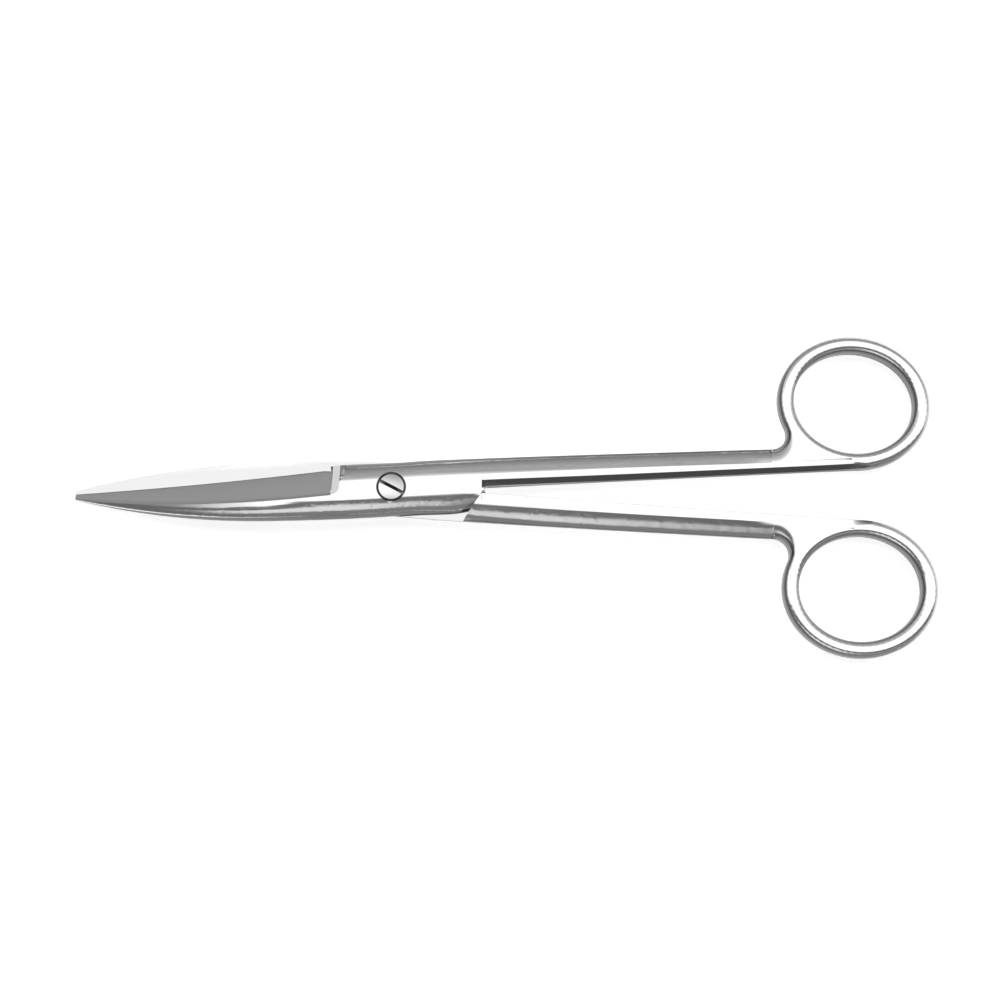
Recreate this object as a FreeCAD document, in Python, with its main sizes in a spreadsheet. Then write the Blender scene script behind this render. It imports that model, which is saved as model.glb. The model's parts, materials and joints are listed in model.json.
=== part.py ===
import FreeCAD
import Part
import Sketcher

import math
import os

# Tonsil scissors, curved on the flat: two forged halves that cross at a slotted screw.
# Lengths are in millimetres and angles in degrees.
# Both halves are drawn closed in one frame: Z is the screw's axis, the halves meet at
# z = 0, the finger rings lie towards +X and the tips towards -X. The upper half has its
# ring on the +Y side and the spine of its blade on the -Y side. The lower half is the
# same form turned over about X, but both blades bend down together.

DRIVING_SIZES = {
    # Blade, seen from above
    "tip_reach": 67.5,
    "edge_at_tip": 0.25,
    "edge_at_heel": 3.6,
    "heel_reach": 15.0,
    "spine_at_tip": 1.0,
    "upper_fullest": 6.8,
    "upper_fullest_reach": 27.0,
    "lower_fullest": 5.7,
    "lower_fullest_reach": 17.0,
    # Bend on the flat, and the gap between the meeting faces
    "flat_radius": 10.0,
    "blade_drop": 9.8,
    "face_gap": 0.04,
    # Section of the blade and its ground bevel
    "bevel_angle": 28.5,
    "bevel_end": 14.0,
    "bevel_past_tip": 1.35,
    "ridge_at_tip": 0.45,
    "wall_share": 0.24,
    "back_share": 0.65,
    "slope_share": 0.7,
    "blank_spare": 0.28,
    # Round shoulder where the bevel runs out
    "shoulder_radius": 4.5,
    "shoulder_depth": 4.0,
    "shoulder_set_back": 2.2,
    "shoulder_side": 1.3,
    # Joint, its lap and the diagonal stop
    "joint_height": 2.9,
    "joint_outer": 5.45,
    "joint_inner": 5.65,
    "joint_round": 3.1,
    "lap_inner": 4.5,
    "lap_reach": 14.9,
    "lap_end_side": 6.2,
    "corner_reach": 19.4,
    "corner_side": 0.72,
    "stop_gap": 0.08,
    # Shank
    "neck_reach": 22.3,
    "neck_inner": 2.03,
    "neck_round": 2.02,
    "shank_end": 78.0,
    "shank_outer": 9.35,
    "shank_outer_power": 0.8,
    "shank_round": 3.2,
    "inner_round": 1.02,
    "handle_height": 1.9,
    "height_fade": 18.0,
    "root_width": 2.28,
    "root_round": 1.46,
    # Slanted facets on the inner side of the shank
    "facet_width": 1.7,
    "facet_depth": 1.2,
    "facet_before_corner": 1.0,
    "facet_past_ring": 3.0,
    "facet_run_out": 2.2,
    # Finger ring and its web
    "ring_reach": 95.3,
    "ring_offset": 19.45,
    "ring_foot": 5.35,
    "ring_long": 24.9,
    "ring_short": 21.7,
    "ring_lean": 4.0,
    "ring_band": 3.25,
    "ring_corner": 1.1,
    "crotch_radius": 3.3,
    "web_step": 0.05,
    "web_overlap": 0.1,
    "web_inset": 0.3,
    # Screw
    "head_diameter": 5.7,
    "head_height": 1.35,
    "head_dome": 0.2,
    "head_proud": 0.05,
    "head_rim": 0.15,
    "head_clearance": 0.06,
    "screw_diameter": 3.4,
    "screw_clearance": 0.04,
    "screw_recess": 0.05,
    "slot_width": 0.7,
    "slot_depth": 0.75,
    "slot_angle": 27.2,
    # How far a cut runs past the metal that it leaves
    "cut_spare": 6.0,
}

# Stations of the blade from the tip, as shares of its length
BLADE_STATIONS = (1.0, 0.955, 0.90, 0.81, 0.70, 0.58, 0.45, 0.32, 0.20)
# Stations of the lap, from the screw to its end
LAP_STATIONS = (0.0, 0.5, 1.0)
# Stations of the shank, from the inner corner to the web
SHANK_STATIONS = (0.22, 0.47, 0.74, 1.0)
# Stations of a facet, each with the share of its run-out from the metal
FACET_STATIONS = ((0.0, 0.0), (0.3, 0.0), (0.6, 0.0), (0.85, 0.0), (0.95, 0.16), (1.08, 1.0))


class Term:
    """A number together with the sheet formula that gives it."""

    def __init__(self, value, text=None):
        self.value = float(value)
        self.text = text if text else repr(float(value))

    def join(self, sign, other, value):
        return Term(value, "(" + self.text + sign + other.text + ")")

    def __add__(self, other):
        other = term(other)
        return self.join(" + ", other, self.value + other.value)

    def __sub__(self, other):
        other = term(other)
        return self.join(" - ", other, self.value - other.value)

    def __mul__(self, other):
        other = term(other)
        return self.join(" * ", other, self.value * other.value)

    def __truediv__(self, other):
        other = term(other)
        return self.join(" / ", other, self.value / other.value)

    def __pow__(self, other):
        other = term(other)
        return self.join(" ^ ", other, self.value ** other.value)

    def __rsub__(self, other):
        return term(other) - self

    def __neg__(self):
        return self * -1.0


def term(number):
    return number if isinstance(number, Term) else Term(number)


def function_term(name, work, inner):
    return Term(work(inner.value), name + "(" + inner.text + ")")


def root(inner):
    return function_term("sqrt", math.sqrt, inner)


def fade(inner):
    return function_term("exp", math.exp, inner)


def tangent(angle):
    return function_term("tan", lambda value: math.tan(math.radians(value)), angle)


def cosine(angle):
    return function_term("cos", lambda value: math.cos(math.radians(value)), angle)


def sine(angle):
    return function_term("sin", lambda value: math.sin(math.radians(value)), angle)


class SizeSheet:
    """The driving sizes as cells of a sheet, each read back as a term."""

    def __init__(self, doc, sizes):
        self.sheet = doc.addObject("Spreadsheet::Sheet", "Sizes")
        for row, (alias, number) in enumerate(sizes.items(), start=1):
            self.sheet.set("A%d" % row, alias)
            self.sheet.set("B%d" % row, str(number))
            self.sheet.setAlias("B%d" % row, alias)
        doc.recompute()

    def __getattr__(self, alias):
        return Term(self.sheet.get(alias), "Sizes." + alias)


# Sketches and features

def bind(feature, path, amount):
    """Set a property by the formula of a term."""
    feature.setExpression(path, term(amount).text)


def plane_of(body, role):
    return [feature for feature in body.Origin.OriginFeatures if feature.Role == role][0]


def new_sketch(body, name, role, offset=(0, 0, 0)):
    """A sketch on an origin plane of the body, moved in that plane's frame."""
    sketch = body.newObject("Sketcher::SketchObject", body.Name + "_" + name)
    sketch.AttachmentSupport = [(plane_of(body, role), "")]
    sketch.MapMode = "FlatFace"
    attach_at(sketch, offset)
    return sketch


def attach_at(feature, offset, turn=0, turn_axis=(1, 0, 0)):
    feature.AttachmentOffset = FreeCAD.Placement(
        FreeCAD.Vector(*[term(part).value for part in offset]),
        FreeCAD.Rotation(FreeCAD.Vector(*turn_axis), term(turn).value),
    )
    for axis, part in zip("xyz", offset):
        bind(feature, ".AttachmentOffset.Base." + axis, part)
    if isinstance(turn, Term):
        bind(feature, ".AttachmentOffset.Rotation.Angle", turn)


def vector(place):
    return FreeCAD.Vector(term(place[0]).value, term(place[1]).value, 0)


def hold(sketch, kind, *shapes, amount):
    """Add a constraint whose amount follows a term."""
    amount = term(amount)
    index = sketch.addConstraint(Sketcher.Constraint(kind, *shapes, amount.value))
    bind(sketch, "Constraints[%d]" % index, amount)


def hold_point(sketch, shape, point, place):
    hold(sketch, "DistanceX", shape, point, amount=place[0])
    hold(sketch, "DistanceY", shape, point, amount=place[1])


def draw_outline(sketch, corners, arcs=None):
    """A closed outline through the corners. An entry i: (centre, counter-clockwise) in
    arcs makes the stretch after corner i a round one about that centre."""
    arcs = arcs or {}
    count = len(corners)
    ends = []
    for index in range(count):
        start = vector(corners[index])
        finish = vector(corners[(index + 1) % count])
        if index in arcs:
            ends.append(add_arc(sketch, start, finish, *arcs[index]))
        else:
            sketch.addGeometry(Part.LineSegment(start, finish), False)
            ends.append((1, 2))
    for index in range(count):
        after = (index + 1) % count
        sketch.addConstraint(
            Sketcher.Constraint("Coincident", index, ends[index][1], after, ends[after][0])
        )
        hold_point(sketch, index, ends[index][0], corners[index])
    for index, arc in arcs.items():
        hold(sketch, "DistanceX", index, 3, amount=arc[0][0])


def add_arc(sketch, start, finish, centre, turns_left):
    """A round stretch. Its own start and end points are numbered counter-clockwise."""
    middle = vector(centre)
    first, last = (start, finish) if turns_left else (finish, start)
    circle = Part.Circle(middle, FreeCAD.Vector(0, 0, 1), (start - middle).Length)
    angle_first = math.atan2(first.y - middle.y, first.x - middle.x)
    angle_last = math.atan2(last.y - middle.y, last.x - middle.x)
    if angle_last < angle_first:
        angle_last += 2 * math.pi
    sketch.addGeometry(Part.ArcOfCircle(circle, angle_first, angle_last), False)
    return (1, 2) if turns_left else (2, 1)


def through_loft(body, name, kind, sketches):
    loft = body.newObject("PartDesign::" + kind, body.Name + "_" + name)
    loft.Profile = sketches[0]
    loft.Sections = sketches[1:]
    loft.Ruled = False
    body.Document.recompute()


def cut(body, name, sketch, length, both_ways=False, upwards=False):
    pocket = body.newObject("PartDesign::Pocket", body.Name + "_" + name)
    pocket.Profile = sketch
    pocket.Type = 0
    bind(pocket, "Length", length)
    pocket.Midplane = both_ways
    pocket.Reversed = upwards
    body.Document.recompute()


# The form of a half, as formulas of the distance from the screw

class Form:
    """Sizes of a half at a distance along it. Widths to the edge or ring side are
    positive for the upper half, and side turns them over for the lower one."""

    def __init__(self, size, side):
        self.size = size
        self.side = side
        self.is_upper = side > 0
        bent = size.tip_reach - size.flat_radius
        self.bend_radius = (bent ** 2 + size.blade_drop ** 2) / (size.blade_drop * 2)
        self.fullest = size.upper_fullest if self.is_upper else size.lower_fullest
        self.fullest_reach = (
            size.upper_fullest_reach if self.is_upper else size.lower_fullest_reach
        )
        self.face = size.face_gap * (0.5 * side)

    def level(self, reach):
        """Height of the meeting face on the blade side."""
        if reach.value <= self.size.flat_radius.value:
            return term(0)
        run = reach - self.size.flat_radius
        return root(self.bend_radius ** 2 - run ** 2) - self.bend_radius

    def edge(self, reach):
        s = self.size
        share = (s.tip_reach - reach) / (s.tip_reach - s.heel_reach)
        return s.edge_at_tip + (s.edge_at_heel - s.edge_at_tip) * share ** 2

    def spine(self, reach):
        s = self.size
        if reach.value > self.fullest_reach.value:
            share = (reach - self.fullest_reach) / (s.tip_reach - self.fullest_reach)
            return self.fullest - (self.fullest - s.spine_at_tip) * share ** 2
        share = (self.fullest_reach - reach) / self.fullest_reach
        return self.fullest - (self.fullest - s.joint_inner) * share ** 2

    def blade_height(self, reach):
        s = self.size
        share = (reach - s.flat_radius) / (s.tip_reach - s.flat_radius)
        return s.joint_height - (s.joint_height - s.ridge_at_tip) * share ** 2

    def inner_line(self, run):
        """Inner edge of the shank, a straight line from the corner to the ring."""
        s = self.size
        share = (run - s.corner_reach) / (s.ring_reach - s.corner_reach)
        return s.corner_side + (s.ring_foot - s.corner_side) * share

    def outer_line(self, run):
        s = self.size
        share = (run / s.shank_end) ** s.shank_outer_power
        return s.joint_outer + (s.shank_outer - s.joint_outer) * share

    def handle_height(self, run):
        s = self.size
        low = s.handle_height - s.web_step
        return low + (s.joint_height - low) * fade(-((run / s.height_fade) ** 2))

    def stop_line(self, aside):
        """Distance of the diagonal stop from the screw, at a distance towards the ring."""
        s = self.size
        lean = (s.corner_reach - s.lap_reach) / (s.corner_side + s.lap_end_side)
        return s.corner_reach - lean * (s.corner_side - aside)

    def blade_section(self, reach):
        s = self.size
        height = self.blade_height(reach)
        bevel_width = height / tangent(s.bevel_angle)
        back = self.spine(reach) + self.edge(reach) - bevel_width
        return {
            "x": -reach,
            "level": self.level(reach),
            "height": height,
            "outer": self.edge(reach) + height * s.blank_spare,
            "outer_round": bevel_width * s.slope_share,
            "inner": -self.spine(reach),
            "inner_round": back * s.back_share,
        }

    def handle_section(self, run, outer, outer_round, inner, inner_round):
        return {
            "x": run,
            "level": term(0),
            "height": self.handle_height(run),
            "outer": outer,
            "outer_round": outer_round,
            "inner": inner,
            "inner_round": inner_round,
        }

    def lap_section(self, share):
        s = self.size
        run = s.lap_reach * share
        inner = s.joint_inner - (s.joint_inner - s.lap_inner) * share
        return self.handle_section(run, self.outer_line(run), s.shank_round, -inner, s.joint_round)

    def shank_section(self, run, outer=None):
        s = self.size
        outer = outer or self.outer_line(run)
        inner = self.inner_line(run) - s.facet_width
        return self.handle_section(run, outer, s.shank_round, inner, s.inner_round)

    def sections(self):
        """Sections of the forged blank from the tip, over the joint, to the ring."""
        s = self.size
        blade = [self.blade_section(s.tip_reach * share) for share in BLADE_STATIONS]
        lap = [self.lap_section(share) for share in LAP_STATIONS]
        neck = self.handle_section(
            s.neck_reach, self.outer_line(s.neck_reach), s.shank_round, -s.neck_inner, s.neck_round
        )
        straight = s.shank_end - s.corner_reach
        shank = [self.shank_section(s.corner_reach + straight * share) for share in SHANK_STATIONS]
        shank.append(self.shank_section((s.shank_end + s.ring_reach) / 2, s.shank_outer))
        root_end = self.handle_section(
            s.ring_reach,
            s.ring_foot + s.root_width,
            s.root_round,
            s.ring_foot - s.facet_width,
            s.inner_round,
        )
        return blade + lap + [neck] + shank + [root_end]


def shoulder_arc_radius(width, rise):
    """Radius of the arc that meets a flat smoothly and falls by rise over width."""
    return (width ** 2 + rise ** 2) / (rise * 2)


def draw_section(sketch, form, part):
    """An oblong with flat top and bottom, round shoulders and a narrow wall each side."""
    side = form.side
    height = part["height"]
    level = part["level"]
    wall = height * form.size.wall_share
    outer = part["outer"] * side
    inner = part["inner"] * side
    outer_flat = (part["outer"] - part["outer_round"]) * side
    inner_flat = (part["inner"] + part["inner_round"]) * side
    outer_radius = shoulder_arc_radius(part["outer_round"], height - wall)
    inner_radius = shoulder_arc_radius(part["inner_round"], height - wall)
    corners = [
        (outer, level - wall),
        (outer, level + wall),
        (outer_flat, level + height),
        (inner_flat, level + height),
        (inner, level + wall),
        (inner, level - wall),
        (inner_flat, level - height),
        (outer_flat, level - height),
    ]
    arcs = {
        1: ((outer_flat, level + height - outer_radius), form.is_upper),
        3: ((inner_flat, level + height - inner_radius), form.is_upper),
        5: ((inner_flat, level - height + inner_radius), form.is_upper),
        7: ((outer_flat, level - height + outer_radius), form.is_upper),
    }
    draw_outline(sketch, corners, arcs)


# Finger ring

def ellipse_point(centre, across, along, lean, share_x, share_y):
    """A point of an ellipse turned by lean, given the cosine and sine of its angle."""
    wide = across * share_x
    high = along * share_y
    return (
        centre[0] + wide * cosine(lean) - high * sine(lean),
        centre[1] + wide * sine(lean) + high * cosine(lean),
    )


def add_ellipse(sketch, centre, across, along, lean, limits=None):
    """An ellipse, or the part of it between two angles, with the end of its long axis."""
    long_end = ellipse_point(centre, across, along, lean, 1, 0)
    short_end = ellipse_point(centre, across, along, lean, 0, 1)
    curve = Part.Ellipse(vector(long_end), vector(short_end), vector(centre))
    if limits is not None:
        curve = Part.ArcOfEllipse(curve, math.radians(limits[0]), math.radians(limits[1]))
    return sketch.addGeometry(curve, False), long_end


def hold_ellipse(sketch, index, centre, long_end, along):
    first = sketch.GeometryCount
    sketch.exposeInternalGeometry(index)
    hold_point(sketch, index, 3, centre)
    hold_point(sketch, first, 1, long_end)
    hold(sketch, "Distance", first + 1, amount=along * 2)


def crotch_sine(size, across, along):
    """Sine of the ellipse angle at which the crotch's circle touches the ring. The ring
    leans a little, so each round uses the last one's angle for the lean's share."""
    drop = size.ring_offset - size.shank_outer - size.crotch_radius
    tilt = sine(size.ring_lean) * (across + size.crotch_radius)
    upright = (along + size.crotch_radius) * cosine(size.ring_lean)
    low = drop / upright
    for _ in range(3):
        low = (drop + tilt * root(1 - low ** 2)) / upright
    return low


def add_ring(body, size, form):
    """Finger ring with its web, drawn in plan: an elliptical band whose outline leaves
    the ring at the crotch by a round stretch and goes into the shank."""
    side = form.side
    lean = size.ring_lean * -side
    centre = (size.ring_reach, size.ring_offset * side)
    across = size.ring_long / 2 + size.ring_band
    along = size.ring_short / 2 + size.ring_band
    radius = size.crotch_radius
    low = crotch_sine(size, across, along)
    wide = root(1 - low ** 2)
    touch = ellipse_point(centre, across, along, lean, -wide, low * -side)
    middle = ellipse_point(centre, across + radius, along + radius, lean, -wide, low * -side)
    foot = ellipse_point(centre, across, along, lean, term(0), term(-side))
    start = (middle[0], (size.shank_outer - size.web_overlap) * side)
    within = size.facet_width + size.web_inset
    corners = [
        foot,
        (foot[0], foot[1] + within * side),
        (middle[0], (form.inner_line(middle[0]) + within) * side),
        start,
    ]

    sketch = new_sketch(body, "ring_plan", "XY_Plane")
    low_angle = math.degrees(math.asin(low.value))
    limits = (270, 540 + low_angle) if form.is_upper else (180 - low_angle, 450)
    crotch_ends = add_arc(sketch, vector(start), vector(touch), vector(middle), form.is_upper)
    outer, outer_end = add_ellipse(sketch, centre, across, along, lean, limits)
    ring_ends = (2, 1) if form.is_upper else (1, 2)
    for first, second in zip(corners, corners[1:]):
        sketch.addGeometry(Part.LineSegment(vector(first), vector(second)), False)
    hole, hole_end = add_ellipse(sketch, centre, size.ring_long / 2, size.ring_short / 2, lean)
    joints = [
        (0, crotch_ends[1], outer, ring_ends[0]),
        (outer, ring_ends[1], 2, 1),
        (2, 2, 3, 1),
        (3, 2, 4, 1),
        (4, 2, 0, crotch_ends[0]),
    ]
    for joint in joints:
        sketch.addConstraint(Sketcher.Constraint("Coincident", *joint))
    hold_ellipse(sketch, outer, centre, outer_end, along)
    hold_ellipse(sketch, hole, centre, hole_end, size.ring_short / 2)
    hold(sketch, "DistanceX", 0, 3, amount=middle[0])
    hold_point(sketch, 0, crotch_ends[0], start)
    hold(sketch, "DistanceY", 0, crotch_ends[1], amount=touch[1])
    hold(sketch, "DistanceX", 2, 1, amount=foot[0])
    hold_point(sketch, 3, 1, corners[1])
    hold_point(sketch, 4, 1, corners[2])

    pad = body.newObject("PartDesign::Pad", body.Name + "_ring")
    pad.Profile = sketch
    pad.Midplane = True
    bind(pad, "Length", size.handle_height * 2)
    body.Document.recompute()
    rounding = body.newObject("PartDesign::Fillet", body.Name + "_ring_round")
    rounding.Base = (pad, curved_rims(pad.Shape))
    bind(rounding, "Radius", size.ring_corner)
    body.Document.recompute()


def curved_rims(shape):
    """Names of the curved edges that lie wholly in the upper or the lower face."""
    top = shape.BoundBox.ZMax
    rims = []
    for number, edge in enumerate(shape.Edges, start=1):
        level = all(math.isclose(abs(vertex.Z), top, abs_tol=1e-6) for vertex in edge.Vertexes)
        if level and not isinstance(edge.Curve, Part.Line):
            rims.append("Edge%d" % number)
    return rims


# Features of a half, in the order in which it is made

def add_blank(body, form):
    """Forged bar from the tip, over the joint, into the ring."""
    sketches = []
    for number, part in enumerate(form.sections()):
        sketch = new_sketch(body, "section_%d" % number, "YZ_Plane", (0, 0, part["x"]))
        draw_section(sketch, form, part)
        sketches.append(sketch)
    through_loft(body, "blank", "AdditiveLoft", sketches)


def cut_meeting_face(body, size, form):
    """Meeting face of the blade, turned about the screw's axis, so that the blades slide
    past each other at any opening angle."""
    beyond = size.tip_reach + size.cut_spare
    run = beyond - size.flat_radius
    end = form.face + root(form.bend_radius ** 2 - run ** 2) - form.bend_radius
    away = end - size.joint_height * 2 if form.is_upper else size.joint_height * 2
    sketch = new_sketch(body, "face", "XZ_Plane")
    draw_outline(
        sketch,
        [
            (term(0), form.face),
            (-size.flat_radius, form.face),
            (-beyond, end),
            (-beyond, away),
            (term(0), away),
        ],
        {1: ((-size.flat_radius, form.face - form.bend_radius), True)},
    )
    groove = body.newObject("PartDesign::Groove", body.Name + "_face_cut")
    groove.Profile = sketch
    groove.ReferenceAxis = (sketch, ["V_Axis"])
    groove.Angle = 180
    groove.Midplane = True
    body.Document.recompute()


def cut_inner_side(body, size, form):
    """Straight inner side of the shank and the diagonal end of the lap."""
    side = form.side
    half_gap = size.stop_gap / 2
    away = size.lap_end_side * 2
    beyond = size.ring_reach + size.cut_spare
    sketch = new_sketch(body, "inner_line", "XY_Plane")
    draw_outline(sketch, [
        (size.corner_reach - half_gap, size.corner_side * side),
        (form.stop_line(-away) - half_gap, away * -side),
        (beyond, away * -side),
        (beyond, form.inner_line(beyond) * side),
    ])
    cut(body, "inner_cut", sketch, size.joint_height * 4, both_ways=True)


def cut_lap(body, size, form):
    """The other half's side of the joint goes, up to the diagonal shoulder that stops it."""
    side = form.side
    half_gap = size.stop_gap / 2
    away = size.lap_end_side * 2
    start = -size.flat_radius / 2
    sketch = new_sketch(body, "lap", "XY_Plane", (0, 0, form.face))
    draw_outline(sketch, [
        (start, away * -side),
        (form.stop_line(away) + half_gap, away * -side),
        (form.stop_line(-away) + half_gap, away * side),
        (start, away * side),
    ])
    cut(body, "lap_cut", sketch, size.joint_height * 4, upwards=not form.is_upper)


def grind_bevel(body, size, form):
    """Ground bevel behind the cutting edge, which follows the bend of the blade."""
    side = form.side
    slope = tangent(size.bevel_angle)
    outwards = size.joint_height * size.blank_spare * 2
    inwards = size.joint_height / slope * 2
    reaches = [size.tip_reach + size.bevel_past_tip]
    reaches += [size.tip_reach * share for share in BLADE_STATIONS[1:-1]]
    reaches.append(size.bevel_end)
    sketches = []
    for number, reach in enumerate(reaches):
        level = form.level(reach)
        low = form.edge(reach) + outwards
        high = form.edge(reach) - inwards
        over = level + size.joint_height * (4 * side)
        sketch = new_sketch(body, "bevel_%d" % number, "YZ_Plane", (0, 0, -reach))
        draw_outline(sketch, [
            (low * side, level - slope * outwards * side),
            (high * side, level + slope * inwards * side),
            (high * side, over),
            (low * side, over),
        ])
        sketches.append(sketch)
    through_loft(body, "bevel_cut", "SubtractiveLoft", sketches)


def cut_shoulder(body, size, form):
    """Round shoulder where the bevel runs out at the joint."""
    side = form.side
    rise = (form.edge(size.bevel_end) - size.shoulder_side) * tangent(size.bevel_angle)
    turn = -size.bevel_angle if form.is_upper else 180 - size.bevel_angle
    place = (
        -(size.bevel_end + size.shoulder_set_back),
        size.shoulder_side * side,
        form.level(size.bevel_end) + rise * side,
    )
    cone = body.newObject("PartDesign::SubtractiveCone", body.Name + "_shoulder")
    cone.AttachmentSupport = [(plane_of(body, "XY_Plane"), "")]
    cone.MapMode = "FlatFace"
    attach_at(cone, place, turn)
    bind(cone, "Radius1", size.shoulder_radius)
    bind(cone, "Radius2", size.shoulder_radius + size.shoulder_depth)
    bind(cone, "Height", size.shoulder_depth)
    body.Document.recompute()


def cut_facets(body, size, form):
    """Slanted facets along the inner side of the shank, above and below."""
    side = form.side
    over = size.facet_width * 0.3
    fall = size.facet_depth / size.facet_width
    first = size.corner_reach - size.facet_before_corner
    length = size.ring_reach + size.facet_past_ring - size.corner_reach
    for label, way in (("upper", 1), ("lower", -1)):
        sketches = []
        for number, (share, out) in enumerate(FACET_STATIONS):
            run = first + length * share
            line = form.inner_line(run) - size.facet_run_out * out
            height = form.handle_height(run)
            above = height + fall * over
            name = "facet_%s_%d" % (label, number)
            sketch = new_sketch(body, name, "YZ_Plane", (0, 0, run))
            draw_outline(sketch, [
                ((line - over) * side, (height - size.facet_depth - fall * over) * way),
                ((line + size.facet_width + over) * side, above * way),
                ((line - over) * side, above * way),
            ])
            sketches.append(sketch)
        through_loft(body, "facet_cut_" + label, "SubtractiveLoft", sketches)


def drill(body, size, name, radius, floor=None):
    """A round hole on the screw's axis: right through, or up from the given height."""
    sketch = new_sketch(body, name + "_circle", "XY_Plane", (0, 0, 0 if floor is None else floor))
    circle = Part.Circle(FreeCAD.Vector(), FreeCAD.Vector(0, 0, 1), term(radius).value)
    sketch.addGeometry(circle, False)
    sketch.addConstraint(Sketcher.Constraint("Coincident", 0, 3, -1, 1))
    hold(sketch, "Radius", 0, amount=radius)
    cut(body, name, sketch, size.joint_height * 4, both_ways=floor is None, upwards=True)


def head_seat(size):
    return size.joint_height + size.head_proud - size.head_height


def make_half(doc, size, name, side):
    form = Form(size, side)
    body = doc.addObject("PartDesign::Body", name)
    body.Label = name
    add_ring(body, size, form)
    add_blank(body, form)
    cut_meeting_face(body, size, form)
    cut_inner_side(body, size, form)
    cut_lap(body, size, form)
    grind_bevel(body, size, form)
    cut_shoulder(body, size, form)
    cut_facets(body, size, form)
    if form.is_upper:
        drill(body, size, "hole", size.screw_diameter / 2 + size.screw_clearance)
        drill(body, size, "seat", size.head_diameter / 2 + size.head_clearance, head_seat(size))
    else:
        drill(body, size, "hole", size.screw_diameter / 2)
    return body


def make_screw(doc, size, name):
    """Slotted screw: its head sits in the upper half, its thread holds in the lower."""
    body = doc.addObject("PartDesign::Body", name)
    body.Label = name
    radius = size.screw_diameter / 2
    head = size.head_diameter / 2
    rim = size.head_rim
    end = size.screw_recess - size.joint_height
    top = size.joint_height + size.head_proud
    crown = top + size.head_dome
    seat = head_seat(size) + size.face_gap / 2
    sketch = new_sketch(body, "profile", "XZ_Plane")
    draw_outline(
        sketch,
        [
            (term(0), end),
            (radius - rim, end),
            (radius, end + rim),
            (radius, seat),
            (head, seat),
            (head, top - rim),
            (head - rim, top),
            (term(0), crown),
        ],
        {6: ((term(0), crown - shoulder_arc_radius(head - rim, size.head_dome)), True)},
    )
    turned = body.newObject("PartDesign::Revolution", name + "_turned")
    turned.Profile = sketch
    turned.ReferenceAxis = (sketch, ["V_Axis"])
    turned.Angle = 360
    doc.recompute()

    ahead = (cosine(size.slot_angle), -sine(size.slot_angle))
    half_width = size.slot_width / 2
    corners = []
    for out, off in ((1, -1), (1, 1), (-1, 1), (-1, -1)):
        corners.append((
            ahead[0] * size.head_diameter * out - ahead[1] * half_width * off,
            ahead[1] * size.head_diameter * out + ahead[0] * half_width * off,
        ))
    sketch = new_sketch(body, "slot_plan", "XY_Plane", (0, 0, crown - size.slot_depth))
    draw_outline(sketch, corners)
    cut(body, "slot", sketch, size.slot_depth * 2, upwards=True)
    return body


def rest_pose(size, bodies):
    """The pair as it lies: tips and rings on z = 0, with the origin under the middle."""
    tip_low = size.blade_drop + size.ridge_at_tip
    ring_far = size.ring_reach + size.ring_long / 2 + size.ring_band - size.ring_corner
    rise = (tip_low - size.handle_height) / (size.tip_reach + ring_far)
    turn = FreeCAD.Rotation(FreeCAD.Vector(0, 1, 0), math.degrees(math.atan(rise.value)))
    box = FreeCAD.BoundBox()
    for body in bodies:
        shape = body.Shape.copy()
        shape.Placement = FreeCAD.Placement(FreeCAD.Vector(), turn)
        box.add(shape.optimalBoundingBox(False, False))
    middle = box.Center
    pose = FreeCAD.Placement(FreeCAD.Vector(-middle.x, -middle.y, -box.ZMin), turn)
    for body in bodies:
        body.Placement = pose
    print("screw axis at", pose.Base, "along", turn.multVec(FreeCAD.Vector(0, 0, 1)))


def check(doc):
    for thing in doc.Objects:
        if "Invalid" in thing.State or "Error" in thing.State:
            raise RuntimeError(thing.Name + " failed: " + ", ".join(thing.State))
    for body in doc.findObjects("PartDesign::Body"):
        if body.Shape.isNull() or not body.Shape.isValid() or len(body.Shape.Solids) != 1:
            raise RuntimeError(body.Name + " is not one valid solid")


def main():
    os.makedirs("parts", exist_ok=True)
    doc = FreeCAD.newDocument("tonsil_scissors")
    size = SizeSheet(doc, DRIVING_SIZES)
    bodies = [
        make_half(doc, size, "top_half", 1),
        make_half(doc, size, "bottom_half", -1),
        make_screw(doc, size, "joint_screw"),
    ]
    doc.recompute()
    rest_pose(size, bodies)
    doc.recompute()
    check(doc)
    for body in bodies:
        body.Shape.exportStep("parts/" + body.Label + ".step")


main()
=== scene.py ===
import json
import math

import bpy
from mathutils import Euler, Matrix, Vector

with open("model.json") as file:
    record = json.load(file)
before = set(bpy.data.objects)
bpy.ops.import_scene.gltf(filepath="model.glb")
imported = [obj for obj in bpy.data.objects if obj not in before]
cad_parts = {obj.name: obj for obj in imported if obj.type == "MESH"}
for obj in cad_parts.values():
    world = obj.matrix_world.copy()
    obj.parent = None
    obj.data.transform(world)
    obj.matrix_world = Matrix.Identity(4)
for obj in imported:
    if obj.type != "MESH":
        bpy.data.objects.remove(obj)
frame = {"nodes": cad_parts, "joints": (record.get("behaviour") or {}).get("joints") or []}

bl_info = {
    "name": "Tonsil scissors dresser",
    "version": (1, 0, 0),
    "blender": (4, 5, 0),
    "location": "View3D > Sidebar > Scissors",
    "description": "Gives a pair of curved tonsil scissors its steel finishes, studio and camera",
    "category": "Object",
}

# The pair is drawn about its screw: X runs to the finger rings, Z along the screw, in
# millimetres. It lies on its tips and rings, so this drawing frame is turned a little.
HINGE = frame["joints"][0]
PIVOT = Vector(HINGE["pos_m"])
REST_TURN = math.atan2(HINGE["axis"][0], HINGE["axis"][2])
MILLIMETRE = 0.001
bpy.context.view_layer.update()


# Properties that a user would change

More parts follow.
